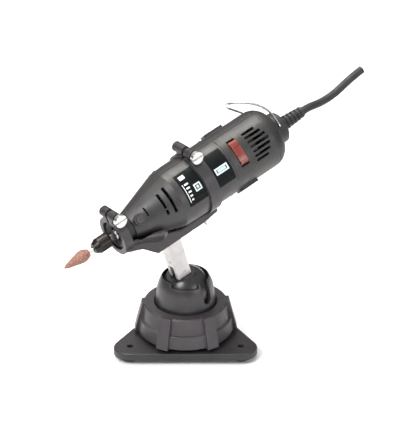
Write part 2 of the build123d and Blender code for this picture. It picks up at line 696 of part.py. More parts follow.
with BuildPart() as housing_far:
    build_shell(tool_axis_reversed, -1)
    add_bar(skin_plane(BRUSH_PLACE, 24.0, BRUSH_ANGLES[0]), 20, 13, 5.2, 3)
    add_disc(skin_plane(BRUSH_PLACE, 18.0, BRUSH_ANGLES[0]), BRUSH_CAP_R + LOOSE, 14, mode=Mode.SUBTRACT)
    # Air slots matching the near side.
    add_band(*SHOULDER_SLOTS, 18, 30, 226, 60, Mode.SUBTRACT)
    add_band(*FRONT_SLOTS, 16, 28, 224, 56, Mode.SUBTRACT)
    for slot in range(GRILLE_SLOTS):
        from_middle = slot - (GRILLE_SLOTS - 1) / 2
        slot_length = GRILLE_LENGTH - 0.75 * from_middle**2
        angle = 180 + PANEL_ANGLE + GRILLE_PITCH * from_middle
        with BuildSketch(skin_plane(GRILLE_START + slot_length / 2, BODY_R - 4, angle)):
            SlotOverall(slot_length, GRILLE_SLOT_WIDTH)
        extrude(amount=8, mode=Mode.SUBTRACT)
    # Countersunk holes for the four housing screws.
    for along, height in HOUSING_SCREWS:
        screw_line = side_plane(0, along, TOOL_HEIGHT + height)
        add_disc(screw_line, SMALL_SCREW_R + FIT, -30, mode=Mode.SUBTRACT)
        add_disc(side_plane(-9.0, along, TOOL_HEIGHT + height), 3.0, -20, mode=Mode.SUBTRACT)

with BuildPart() as housing_screws:
    for along, height in HOUSING_SCREWS:
        add_disc(side_plane(-9.0, along, TOOL_HEIGHT + height), SMALL_SCREW_R, 16.0)
        add_disc(side_plane(-9.0, along, TOOL_HEIGHT + height), 2.8, -2.2)

with BuildPart() as label_plates:
    for start, end in LABELS:
        plate_r = BODY_R - LABEL_DEPTH
        add_band(start + 0.15, end - 0.15, plate_r, BODY_R, LABEL_TOP_ANGLE - 0.4, LABEL_SWEEP - 0.8)

with BuildPart() as nose_bushing:
    bushing_outline = [
        (-49.0, 10.5),
        (-48.0, FRONT_BORE_R - FIT),
        (-40.5, FRONT_BORE_R - FIT),
        (-40.0, 11.6),
        (NOSE_FRONT, 11.6),
        (NOSE_FRONT, NOSE_R - WALL - FIT),
        (NOSE_FRONT + 1.6, NOSE_R - WALL - FIT),
        (NOSE_FRONT + 1.6, 7.5),
        (-46.0, 7.5),
    ]
    add_turned(side_plane(0, 0, TOOL_HEIGHT), tool_axis, bushing_outline)

with BuildPart() as rear_cap:
    cap_rise = BODY_R - BOSS_R
    spigot_r = BODY_R - WALL - FIT
    with BuildSketch(side_plane(0, 0, TOOL_HEIGHT)):
        with BuildLine():
            Polyline((CAP_START - 3, spigot_r), (CAP_START, spigot_r), (CAP_START, BODY_R))
            EllipticalCenterArc(
                (CAP_START, BOSS_R),
                CAP_END - CAP_START,
                cap_rise,
                start_angle=0,
                arc_size=90,
            )
            Polyline(
                (CAP_END, BOSS_R),
                (BOSS_END - 1.5, BOSS_R - 0.6),
                (BOSS_END, BOSS_R - 2.0),
                (BOSS_END, 5.05),
                (BOSS_END - 6.0, 5.05),
                (BOSS_END - 6.0, BOSS_R - 5),
                (CAP_END - 4, BOSS_R - 3),
                (CAP_START + 8, BODY_R - WALL - 3.4),
                (CAP_START - 3, BODY_R - WALL - 2.4),
                (CAP_START - 3, spigot_r),
            )
        make_face()
    revolve(axis=tool_axis)
    # Pivot holes for the hanger.
    for angle in (PANEL_ANGLE, PANEL_ANGLE + 180):
        add_disc(skin_plane(HANGER_PLACE, 8.0, angle), HANGER_WIRE_R + 0.15, 12, mode=Mode.SUBTRACT)

# =====================================================================
# Switch, speed control and brushes
# =====================================================================
with BuildPart() as switch_slider:
    slider_sweep = SWITCH_ARC + 4 * SWITCH_TRAVEL + 4
    slider_top = PANEL_ANGLE + slider_sweep / 2
    add_band(SWITCH_PLACE - 6, SWITCH_PLACE + 6, 23.2, BODY_R - WALL - LOOSE, slider_top, slider_sweep)

with BuildPart() as speed_switch:
    knob_start = SWITCH_PLACE - SWITCH_WIDTH / 2
    knob_end = SWITCH_PLACE + SWITCH_WIDTH / 2
    knob_top = PANEL_ANGLE + SWITCH_ARC / 2
    add_band(knob_start, knob_end, BODY_R - WALL - 0.1, BODY_R + 1.4, knob_top, SWITCH_ARC)
    add_band(knob_start, knob_end, BODY_R + 1.4, BODY_R + 2.6, knob_top - 3, 8)
    add_band(knob_start, knob_end, BODY_R + 1.4, BODY_R + 2.2, knob_top - SWITCH_ARC + 9, 6)

with BuildPart() as speed_board:
    add_bar(skin_plane(76.0, 19.6, PANEL_ANGLE), 20, 14, 1.4)
    add_bar(skin_plane(72.0, 18.0, PANEL_ANGLE), 6, 8, 1.6)
    add_disc(skin_plane(80.5, 17.0, PANEL_ANGLE), 2.6, 2.6)

with BuildPart() as brush_caps:
    for angle in BRUSH_ANGLES:
        add_disc(skin_plane(BRUSH_PLACE, 25.2, angle), BRUSH_CAP_R, 3.6)
        add_bar(skin_plane(BRUSH_PLACE, 28.0, angle), 10, 1.2, 2, mode=Mode.SUBTRACT)

with BuildPart() as brush_tubes:
    for angle in BRUSH_ANGLES:
        add_disc(skin_plane(BRUSH_PLACE, 11.5, angle), BRUSH_CAP_R, 13.5, 3.5)

with BuildPart() as brush_springs:
    for angle in BRUSH_ANGLES:
        add_coil(skin_plane(BRUSH_PLACE, 18.4, angle), 2.5, 0.35, 1.6, 6.4)

with BuildPart() as carbon_brushes:
    for angle in BRUSH_ANGLES:
        add_bar(skin_plane(BRUSH_PLACE, 8.1, angle), 4.8, 4.8, 9.6)

# =====================================================================
# Motor
# =====================================================================
with BuildPart() as armature_shaft:
    shaft_outline = [
        (NUT_BACK - 11.0, 2.5),
        (NUT_BACK - 11.0, 3.9),
        (NUT_BACK + 6.0, 3.9),
        (NUT_BACK + 7.0, 4.6),
        (-36.0, 4.6),
        (-35.0, 3.5),
        (FRONT_BEARING - 0.5, 3.5),
        (FRONT_BEARING - 0.5, SHAFT_R),
        (97.0, SHAFT_R),
        (97.5, SHAFT_R - 0.5),
        (97.5, 0),
        (NUT_BACK + 5.0, 0),
        (NUT_BACK + 5.0, 2.5),
    ]
    add_turned(side_plane(0, 0, TOOL_HEIGHT), tool_axis, shaft_outline)

with BuildPart() as armature_core:
    with BuildSketch(tool_plane(CORE_START)):
        Circle(CORE_R)
        Circle(SHAFT_R + 0.01, mode=Mode.SUBTRACT)
        with PolarLocations(CORE_R - 2.2, WINDING_SLOTS):
            Rectangle(5.4, 2.0, mode=Mode.SUBTRACT)
    extrude(amount=CORE_LENGTH)

with BuildPart() as armature_windings:
    for start, length in ((CORE_START - 6, 5.9), (CORE_START + CORE_LENGTH + 0.1, 6.0)):
        add_disc(tool_plane(start), 10.6, length, 5.0)
    fillet(armature_windings.edges().filter_by(GeomType.CIRCLE).group_by(SortBy.RADIUS)[-1], radius=1.8)

with BuildPart() as commutator:
    with BuildSketch(tool_plane(COMMUTATOR_START)):
        Circle(COMMUTATOR_R)
        Circle(SHAFT_R + 0.01, mode=Mode.SUBTRACT)
        with PolarLocations(COMMUTATOR_R - 0.6, WINDING_SLOTS):
            Rectangle(1.6, 0.5, mode=Mode.SUBTRACT)
    extrude(amount=COMMUTATOR_LENGTH)

with BuildPart() as cooling_fan:
    add_disc(tool_plane(FAN_START), 5.5, 8.0, SHAFT_R + 0.01)
    add_disc(tool_plane(FAN_START + 7.0), FAN_R, 1.2, 5.0)
    for blade in range(FAN_BLADES):
        blade_plane = radial_plane(360 / FAN_BLADES * blade)
        with BuildSketch(blade_plane):
            with BuildLine():
                Polyline(
                    (FAN_START + 0.5, 5.0),
                    (FAN_START + 7.5, 5.0),
                    (FAN_START + 7.5, FAN_R - 0.1),
                    (FAN_START + 2.5, FAN_R - 0.1),
                    close=True,
                )
            make_face()
        extrude(amount=0.6, both=True)

with BuildPart() as stator_core:
    with BuildSketch(tool_plane(CORE_START)):
        Circle(BODY_R - WALL - 0.15)
        Circle(20.0, mode=Mode.SUBTRACT)
        with Locations((0, 17.2), (0, -17.2)):
            Rectangle(14.0, 8.4)
        Circle(CORE_R + 0.7, mode=Mode.SUBTRACT)
    extrude(amount=CORE_LENGTH)

with BuildPart() as field_coils:
    for side in (1, -1):
        coil_plane = post_plane(TOOL_HEIGHT + side * 14.2, CORE_START + CORE_LENGTH / 2)
        with BuildSketch(coil_plane):
            RectangleRounded(CORE_LENGTH + 8, 20.8, 3)
            Rectangle(CORE_LENGTH + 0.4, 14.2, mode=Mode.SUBTRACT)
        extrude(amount=2.2, both=True)


def build_bearing(start):
    """Small ball bearing: two races and a ring of balls."""
    middle = start + BEARING_WIDTH / 2
    add_disc(tool_plane(start), BEARING_R, BEARING_WIDTH, 6.6)
    add_disc(tool_plane(start), 4.7, BEARING_WIDTH, SHAFT_R + 0.03)
    with BuildSketch(radial_plane(0)) as ball_half:
        with BuildLine():
            CenterArc((middle, BEARING_PITCH_R), BEARING_BALL_R, 0, 180)
            Line((middle - BEARING_BALL_R, BEARING_PITCH_R), (middle + BEARING_BALL_R, BEARING_PITCH_R))
        make_face()
    ball_spin = Axis(holder_point(0, TOOL_HEIGHT) + outward(0) * BEARING_PITCH_R, tail_dir)
    ball = revolve(ball_half.sketch, axis=ball_spin, mode=Mode.PRIVATE)
    for turn in range(BEARING_BALLS):
        add(ball.rotate(tool_axis, 360 / BEARING_BALLS * turn))


with BuildPart() as front_bearing:
    build_bearing(FRONT_BEARING)

with BuildPart() as rear_bearing:
    build_bearing(REAR_BEARING)

# =====================================================================
# Working end
# =====================================================================
with BuildPart() as collet_nut:
    nut_outline = [
        (NUT_BACK, 3.95),
        (NUT_BACK, NUT_R - 0.7),
        (NUT_BACK - 1.0, NUT_R),
        (NUT_BACK - 11.5, NUT_R),
        (NUT_BACK - 16.0, 4.4),
        (NUT_BACK - 16.0, 2.5),
        (NUT_BACK - 12.0, 2.6),
        (NUT_BACK - 12.0, 3.95),
    ]
    add_turned(side_plane(0, 0, TOOL_HEIGHT), tool_axis, nut_outline)
    # Grip flutes round the nut.
    with BuildSketch(tool_plane(NUT_BACK - 10.5)):
        with PolarLocations(NUT_R + 0.3, NUT_FLUTES):
            Circle(0.75)
    extrude(amount=9.0, mode=Mode.SUBTRACT)

with BuildPart() as collet:
    add_disc(tool_plane(NUT_BACK - 15.5), 2.4, 19.5, SHANK_R + 0.03)
    for turn in (0, 90):
        with BuildSketch(radial_plane(turn)):
            with Locations((NUT_BACK - 8.0, 0)):
                Rectangle(17.0, 6.0)
        extrude(amount=0.2, both=True, mode=Mode.SUBTRACT)

with BuildPart() as stone_shank:
    add_disc(tool_plane(STONE_BACK - 16.3), SHANK_R, NUT_BACK + 3.0 - STONE_BACK + 16.3)

with BuildPart() as grinding_stone:
    stone_bore_r = SHANK_R + 0.01
    with BuildSketch(side_plane(0, 0, TOOL_HEIGHT)):
        with BuildLine():
            Line((STONE_BACK - 25.0, 0), (STONE_BACK - 25.0, 0.5))
            Spline(
                (STONE_BACK - 25.0, 0.5),
                (STONE_BACK - 16.0, 3.5),
                (STONE_BACK - 7.0, STONE_R),
                tangents=((1, 0.7), (1, 0.1)),
            )
            Polyline(
                (STONE_BACK - 7.0, STONE_R),
                (STONE_BACK - 4.0, STONE_R - 0.1),
                (STONE_BACK, 3.4),
                (STONE_BACK, stone_bore_r),
                (STONE_BACK - 16.4, stone_bore_r),
                (STONE_BACK - 16.4, 0),
                (STONE_BACK - 25.0, 0),
            )
        make_face()
    revolve(axis=tool_axis)

# =====================================================================
# Shaft lock, hanger and cord
# =====================================================================
with BuildPart() as lock_button:
    add_disc(skin_plane(LOCK_PLACE, 12.6, LOCK_ANGLE), LOCK_BUTTON_R, 4.6)
    add_disc(skin_plane(LOCK_PLACE, 5.7, LOCK_ANGLE), LOCK_PIN_R, 7.0)
    add_bar(skin_plane(LOCK_PLACE, 16.5, LOCK_ANGLE), 5.0, 0.9, 2, mode=Mode.SUBTRACT)

with BuildPart() as lock_spring:
    add_coil(skin_plane(LOCK_PLACE, 9.0, LOCK_ANGLE), 2.5, 0.3, 1.1, 3.3)

def hanger_point(aside, out, ahead):
    """A point of the loop: beside the tool axis, out from it, and ahead of the pivot."""
    side = outward(PANEL_ANGLE) * aside
    return holder_point(HANGER_PLACE - ahead, TOOL_HEIGHT) + side + outward(PANEL_ANGLE + 90) * out


with BuildPart() as hanger_wire:
    with BuildLine() as wire_path:
        Spline(
            hanger_point(HANGER_HALF, 0, 0),
            hanger_point(HANGER_HALF + 0.8, 13.0, 0.8),
            hanger_point(14.0, 30.0, 10.0),
            hanger_point(0, HANGER_RISE, HANGER_REACH),
            tangents=(outward(PANEL_ANGLE + 90), outward(PANEL_ANGLE) * -1),
        )
    with BuildSketch(Plane(origin=wire_path.line @ 0, z_dir=wire_path.line % 0)):
        Circle(HANGER_WIRE_R)
    sweep(path=wire_path.line)
    # Rounded corner and the pivot end that sits in the rear cap.
    with Locations(hanger_point(HANGER_HALF, 0, 0)):
        Sphere(HANGER_WIRE_R + 0.15)
    add_disc(skin_plane(HANGER_PLACE, 11.0, PANEL_ANGLE), HANGER_WIRE_R, HANGER_HALF - 11.0)
    mirror(about=Plane(origin=holder_point(0, TOOL_HEIGHT), z_dir=outward(PANEL_ANGLE)))

with BuildPart() as strain_relief:
    relief_outline = [
        (BOSS_END - 9.0, CORD_R + FIT),
        (BOSS_END - 9.0, 7.0),
        (BOSS_END - 6.1, 7.0),
        (BOSS_END - 6.1, 5.0),
        (BOSS_END + 1.0, 5.0),
    ]
    for rib in range(RELIEF_RIBS):
        rib_start = BOSS_END + 1.5 + 4.2 * rib
        rib_r = RELIEF_RIB_R - 0.3 * rib
        relief_outline += [
            (rib_start, rib_r - 1.1),
            (rib_start + 0.6, rib_r),
            (rib_start + 2.6, rib_r),
            (rib_start + 3.2, rib_r - 1.1),
        ]
    relief_outline += [(BOSS_END + 27.0, CORD_R + 0.5), (BOSS_END + 27.0, CORD_R + FIT)]
    add_turned(side_plane(0, 0, TOOL_HEIGHT), tool_axis, relief_outline)

with BuildPart() as power_cord:
    with BuildLine(side_plane(0, 0, TOOL_HEIGHT)) as cord_path:
        straight = Line((CORD_START, 0), (BOSS_END + 27.5, 0))
        droop = JernArc(straight @ 1, straight % 1, radius=50, arc_size=-14)
        rise = JernArc(droop @ 1, droop % 1, radius=70, arc_size=27)
        JernArc(rise @ 1, rise % 1, radius=180, arc_size=-8.5)
    with BuildSketch(tool_plane(CORD_START)):
        Circle(CORD_R)
    sweep(path=cord_path.line)

# =====================================================================
# Write every piece
# =====================================================================
write(base_plate.part, "base_plate")
write(rubber_feet.part, "rubber_feet")
write(pedestal.part, "pedestal")
write(pedestal_screws.part, "pedestal_screws")
write(locking_collar.part, "locking_collar")
write(socket_cup.part, "socket_cup")
write(friction_pad.part, "friction_pad")
write(pad_spring.part, "pad_spring")
write(swivel_ball.part, "swivel_ball")
write(stem_post.part, "stem_post")
write(stem_pin.part, "stem_pin")
write(post_washer.part, "post_washer")
write(post_screw.part, "post_screw")
write(holder_arm.part, "holder_arm")
write(rear_clamp_ring.part, "rear_clamp_ring")
write(front_clamp_screw.part, "front_clamp_screw")
write(rear_clamp_screw.part, "rear_clamp_screw")
write(clamp_inserts.part, "clamp_inserts")
write(ring_screw.part, "ring_screw")
write(housing_near.part, "housing_near")
write(housing_far.part, "housing_far")
write(housing_screws.part, "housing_screws")
write(label_plates.part, "label_plates")
write(nose_bushing.part, "nose_bushing")
write(rear_cap.part, "rear_cap")
write(switch_slider.part, "switch_slider")
write(speed_switch.part, "speed_switch")
write(speed_board.part, "speed_board")
write(brush_caps.part, "brush_caps")
write(brush_tubes.part, "brush_tubes")
write(brush_springs.part, "brush_springs")
write(carbon_brushes.part, "carbon_brushes")
write(armature_shaft.part, "armature_shaft")
write(armature_core.part, "armature_core")
write(armature_windings.part, "armature_windings")
write(commutator.part, "commutator")
write(cooling_fan.part, "cooling_fan")
write(stator_core.part, "stator_core")
write(field_coils.part, "field_coils")
write(front_bearing.part, "front_bearing")
write(rear_bearing.part, "rear_bearing")
write(collet_nut.part, "collet_nut")
write(collet.part, "collet")
write(stone_shank.part, "stone_shank")
write(grinding_stone.part, "grinding_stone")
write(lock_button.part, "lock_button")
write(lock_spring.part, "lock_spring")
write(hanger_wire.part, "hanger_wire")
write(strain_relief.part, "strain_relief")
write(power_cord.part, "power_cord")
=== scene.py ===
import json
import math

import bmesh
import bpy
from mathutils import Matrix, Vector


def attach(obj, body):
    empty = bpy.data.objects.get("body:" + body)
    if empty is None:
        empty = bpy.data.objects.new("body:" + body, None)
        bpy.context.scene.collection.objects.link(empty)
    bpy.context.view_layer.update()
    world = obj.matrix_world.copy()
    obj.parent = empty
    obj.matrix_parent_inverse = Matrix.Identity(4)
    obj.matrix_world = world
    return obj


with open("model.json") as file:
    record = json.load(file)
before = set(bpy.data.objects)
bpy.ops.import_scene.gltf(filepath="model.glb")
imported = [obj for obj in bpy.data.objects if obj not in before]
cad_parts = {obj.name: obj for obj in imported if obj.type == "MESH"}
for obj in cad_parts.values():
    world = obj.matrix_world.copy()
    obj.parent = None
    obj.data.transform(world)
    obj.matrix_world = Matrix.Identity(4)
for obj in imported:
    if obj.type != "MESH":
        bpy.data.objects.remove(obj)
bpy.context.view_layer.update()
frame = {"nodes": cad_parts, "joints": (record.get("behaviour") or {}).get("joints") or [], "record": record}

# ---------------------------------------------------------------------------
# The frame's own directions and places, in metres
# ---------------------------------------------------------------------------
JOINTS = {joint["name"]: joint for joint in frame["joints"]}
NODES = frame["nodes"]
BALL = Vector(JOINTS["post_tilt"]["pos_m"])
TAIL = Vector(JOINTS["tool_roll"]["axis"]).normalized()
POST = Vector(JOINTS["holder_swivel"]["axis"]).normalized()
NEAR = Vector(JOINTS["post_tilt"]["axis"]).normalized()
TOOL = Vector(JOINTS["tool_roll"]["pos_m"])
MM = 0.001


def outward(angle):
    """Direction out of the tool, degrees above its near side."""
    turn = math.radians(angle)
    return NEAR * math.cos(turn) + POST * math.sin(turn)


def on_tool(along, radius, angle):
    """A point on the tool from its distance along, its radius and its angle, in metres and degrees."""
    return TOOL + TAIL * along + outward(angle) * radius


# ---------------------------------------------------------------------------
# Shader helpers
# ---------------------------------------------------------------------------
class Shader:
    """A node material with short names for the nodes that every surface here uses."""

    def __init__(self, name):
        self.material = bpy.data.materials.new(name)
        self.material.use_nodes = True
        self.tree = self.material.node_tree
        self.bsdf = self.tree.nodes["Principled BSDF"]
        self.place = self.add("ShaderNodeTexCoord").outputs["Object"]

    def add(self, kind, **values):
        node = self.tree.nodes.new(kind)
        for key, value in values.items():
            setattr(node, key, value)
        return node

    def link(self, source, target):
        self.tree.links.new(source, target)

    def set(self, name, value):
        """Give a surface input a number, a colour or a link."""
        socket = self.bsdf.inputs[name]
        if isinstance(value, bpy.types.NodeSocket):
            self.link(value, socket)
        else:
            socket.default_value = value

    def noise(self, scale, detail=4.0, rough=0.55, place=None):
        node = self.add("ShaderNodeTexNoise")
        node.inputs["Scale"].default_value = scale
        node.inputs["Detail"].default_value = detail
        node.inputs["Roughness"].default_value = rough
        self.link(place or self.place, node.inputs["Vector"])
        return node.outputs["Fac"]

    def cells(self, scale):
        node = self.add("ShaderNodeTexVoronoi")
        node.inputs["Scale"].default_value = scale
        self.link(self.place, node.inputs["Vector"])
        return node.outputs["Distance"]

    def ramp(self, source, *stops):
        """Colour ramp; each stop is (position, grey or colour)."""
        node = self.add("ShaderNodeValToRGB")
        elements = node.color_ramp.elements
        while len(elements) < len(stops):
            elements.new(0.5)
        for element, (position, tone) in zip(elements, stops):
            element.position = position
            element.color = (tone, tone, tone, 1) if isinstance(tone, (int, float)) else (*tone, 1)
        self.link(source, node.inputs["Fac"])
        return node.outputs["Color"]

    def mix(self, factor, low, high, blend="MIX"):
        node = self.add("ShaderNodeMix", data_type="RGBA", blend_type=blend)
        for socket, value in ((node.inputs[0], factor), (node.inputs[6], low), (node.inputs[7], high)):
            if isinstance(value, bpy.types.NodeSocket):
                self.link(value, socket)
            elif isinstance(value, (int, float)):
                socket.default_value = value
            else:
                socket.default_value = (*value, 1)
        return node.outputs[2]

    def math(self, operation, *values):
        node = self.add("ShaderNodeMath", operation=operation)
        for socket, value in zip(node.inputs, values):
            if isinstance(value, bpy.types.NodeSocket):
                self.link(value, socket)
            else:
                socket.default_value = value
        return node.outputs["Value"]

    def along(self, axis, scale):
        """The object position measured along an axis, times a scale."""
        node = self.add("ShaderNodeVectorMath", operation="DOT_PRODUCT")
        self.link(self.place, node.inputs[0])
        node.inputs[1].default_value = tuple(axis * scale)
        return node.outputs["Value"]

    def stretched(self, axes_and_scales):
        """Object position on three axes of the frame, each with its own scale."""
        node = self.add("ShaderNodeCombineXYZ")
        for socket, (axis, scale) in zip(node.inputs, axes_and_scales):
            self.link(self.along(axis, scale), socket)
        return node.outputs["Vector"]

    def edges(self, radius):
        """Rounded normal and a mask that is bright along edges."""
        bevel = self.add("ShaderNodeBevel", samples=4)
        bevel.inputs["Radius"].default_value = radius
        geometry = self.add("ShaderNodeNewGeometry")
        dot = self.add("ShaderNodeVectorMath", operation="DOT_PRODUCT")
        self.link(bevel.outputs["Normal"], dot.inputs[0])
        self.link(geometry.outputs["Normal"], dot.inputs[1])
        mask = self.math("SUBTRACT", 1.0, dot.outputs["Value"])
        return bevel.outputs["Normal"], mask

    def bump(self, height, distance, strength=1.0, normal=None):
        node = self.add("ShaderNodeBump")
        node.inputs["Distance"].default_value = distance
        node.inputs["Strength"].default_value = strength
        self.link(height, node.inputs["Height"])
        if normal is not None:
            self.link(normal, node.inputs["Normal"])
        return node.outputs["Normal"]


MOTTLE = 0.18  # how far moulded plastic strays from its colour, either way


def moulded(name, colour, rough, edge_highlight_strength, depth=0.00006, bevel=0.0007):
    """Injection-moulded plastic: spark texture, slight mottling, and a painted highlight along its edges,
    broken up by fine noise.
    """
    shader = Shader(name)
    soft_normal, edge_mask = shader.edges(bevel)
    patches = shader.ramp(shader.noise(38.0, 5.0), (0.32, 0.0), (0.68, 1.0))
    dark = tuple(channel * (1 - MOTTLE) for channel in colour)
    pale = tuple(min(1.0, channel * (1 + MOTTLE)) for channel in colour)
    body = shader.mix(patches, dark, pale)
    # Painted highlight: the edges are paled towards a lighter colour, broken up by fine noise.
    edge_highlight_mask = shader.math("MULTIPLY", shader.ramp(edge_mask, (0.01, 0.0), (0.16, 1.0)), edge_highlight_strength)
    broken_highlight_mask = shader.math("MULTIPLY", edge_highlight_mask, shader.ramp(shader.noise(260.0, 3.0), (0.3, 0.35), (0.6, 1.0)))
    highlight_colour = tuple(min(1.0, channel * 2.6 + 0.03) for channel in colour)
    shader.set("Base Color", shader.mix(broken_highlight_mask, body, highlight_colour))
    smudge = shader.noise(90.0, 4.0)
    shader.set("Roughness", shader.ramp(smudge, (0.25, rough - 0.08), (0.75, rough + 0.1)))
    shader.set("Normal", shader.bump(shader.noise(1500.0, 2.0), depth, 0.8, soft_normal))
    shader.set("Specular IOR Level", 0.5)
    return shader.material


def metal(name, colour, rough, axes):
    """Metal with fine lines, stretched by a scale on each axis of the frame, and small marks."""
    shader = Shader(name)
    soft_normal, edge_mask = shader.edges(0.0003)
    lines = shader.noise(1.0, 3.0, 0.6, shader.stretched(axes))
    marks = shader.noise(420.0, 4.0)
    dark = tuple(channel * 0.88 for channel in colour)
    body = shader.mix(shader.ramp(lines, (0.3, 0.0), (0.7, 1.0)), dark, colour)
    # Painted highlight: the colour is paler along the edges.
    bright = tuple(min(1.0, channel * 1.2 + 0.05) for channel in colour)
    shader.set("Base Color", shader.mix(shader.ramp(edge_mask, (0.02, 0.0), (0.2, 0.8)), body, bright))
    shader.set("Metallic", 1.0)
    spread = shader.mix(0.5, lines, marks)
    shader.set("Roughness", shader.ramp(spread, (0.3, max(0.04, rough - 0.1)), (0.7, rough + 0.12)))
    shader.set("Normal", shader.bump(lines, 0.00002, 0.5, soft_normal))
    return shader.material


def cast_metal(name, colour):
    """Pale satin casting: fine cast grain, faint stains and a painted highlight on its corners."""
    shader = Shader(name)
    soft_normal, edge_mask = shader.edges(0.0006)
    stain = shader.ramp(shader.noise(110.0, 6.0), (0.35, 0.0), (0.75, 1.0))
    dull = tuple(channel * 0.78 for channel in colour)
    # Painted highlight: the corners are paler.
    corner_highlight_colour = tuple(min(1.0, channel * 1.25) for channel in colour)
    body = shader.mix(stain, colour, dull)
    shader.set("Base Color", shader.mix(shader.ramp(edge_mask, (0.02, 0.0), (0.2, 0.8)), body, corner_highlight_colour))
    shader.set("Metallic", 0.35)
    shader.set("Roughness", shader.ramp(shader.noise(260.0), (0.3, 0.38), (0.7, 0.52)))
    shader.set("Normal", shader.bump(shader.noise(1300.0, 3.0), 0.00005, 0.6, soft_normal))
    return shader.material


def rubber(name, colour, rough=0.75):
    """Soft rubber: fine pores, dust in patches, and a painted highlight along its edges."""
    shader = Shader(name)
    soft_normal, edge_mask = shader.edges(0.0005)
    dust = shader.ramp(shader.noise(70.0, 6.0), (0.45, 0.0), (0.75, 0.45))
    pale = tuple(channel * 2.2 + 0.02 for channel in colour)
    # Dust in patches, plus a painted highlight along the edges.
    paling_mask = shader.math("ADD", dust, shader.ramp(edge_mask, (0.02, 0.0), (0.25, 0.35)))
    shader.set("Base Color", shader.mix(paling_mask, colour, pale))
    shader.set("Roughness", shader.ramp(shader.noise(200.0), (0.3, rough - 0.1), (0.7, rough + 0.1)))
    shader.set("Normal", shader.bump(shader.noise(2200.0, 2.0), 0.00008, 0.7, soft_normal))
    return shader.material


def bonded_grit(name):
    """Pink grinding stone: packed grains of three tones, with painted shade in the pores between them."""
    shader = Shader(name)
    grain = shader.cells(1500.0)
    tone = shader.noise(900.0, 2.0)
    brown, pink, pale = (0.26, 0.115, 0.09), (0.45, 0.23, 0.18), (0.64, 0.41, 0.34)
    body = shader.ramp(tone, (0.3, brown), (0.5, pink), (0.72, pale))
    # Painted shade: darker between the grains.
    grain_edge_shade = shader.ramp(grain, (0.05, 1.0), (0.4, 0.55))
    shader.set("Base Color", shader.mix(1.0, body, grain_edge_shade, "MULTIPLY"))
    shader.set("Roughness", 0.92)
    shader.set("Specular IOR Level", 0.25)
    shader.set("Normal", shader.bump(grain, 0.0003, 1.0))
    return shader.material


def printed_film(name, colour, rough=0.3, shine=0.3):
    """Printed label film: smooth, faintly rippled, with light scratches."""
    shader = Shader(name)
    soft_normal, edge_mask = shader.edges(0.0002)
    scratches = shader.noise(1.0, 2.0, 0.5, shader.stretched(((TAIL, 60.0), (NEAR, 2600.0), (POST, 2600.0))))
    marks = shader.ramp(scratches, (0.62, 0.0), (0.75, 0.5))
    pale = tuple(min(1.0, channel * 1.6 + 0.04) for channel in colour)
    shader.set("Base Color", shader.mix(marks, colour, pale))
    shader.set("Roughness", shader.ramp(shader.noise(150.0), (0.3, rough - 0.1), (0.7, rough + 0.12)))
    shader.set("Specular IOR Level", shine)
    shader.set("Normal", shader.bump(shader.noise(500.0, 2.0), 0.00002, 0.5, soft_normal))
    return shader.material


def gloss_red(name):
    """Red switch knob: glossy, with a cloudy tone and a painted orange highlight along its edges."""
    shader = Shader(name)
    soft_normal, edge_mask = shader.edges(0.0009)
    cloud = shader.noise(120.0, 4.0)
    body = shader.ramp(cloud, (0.3, (0.12, 0.011, 0.008)), (0.7, (0.21, 0.022, 0.015)))
    # Painted highlight: the edges are paled towards orange.
    paling_mask = shader.ramp(edge_mask, (0.02, 0.0), (0.3, 0.75))
    shader.set("Base Color", shader.mix(paling_mask, body, (0.62, 0.20, 0.09)))
    shader.set("Roughness", shader.ramp(cloud, (0.3, 0.26), (0.7, 0.4)))
    shader.set("Coat Weight", 0.3)
    shader.set("Normal", shader.bump(shader.noise(1400.0, 2.0), 0.00003, 0.6, soft_normal))
    return shader.material


# ---------------------------------------------------------------------------
# Materials of the record's slots
# ---------------------------------------------------------------------------
TURNED = ((TAIL, 2500.0), (NEAR, 5000.0), (POST, 2500.0))
ALONG_TOOL = ((TAIL, 150.0), (NEAR, 7000.0), (POST, 7000.0))

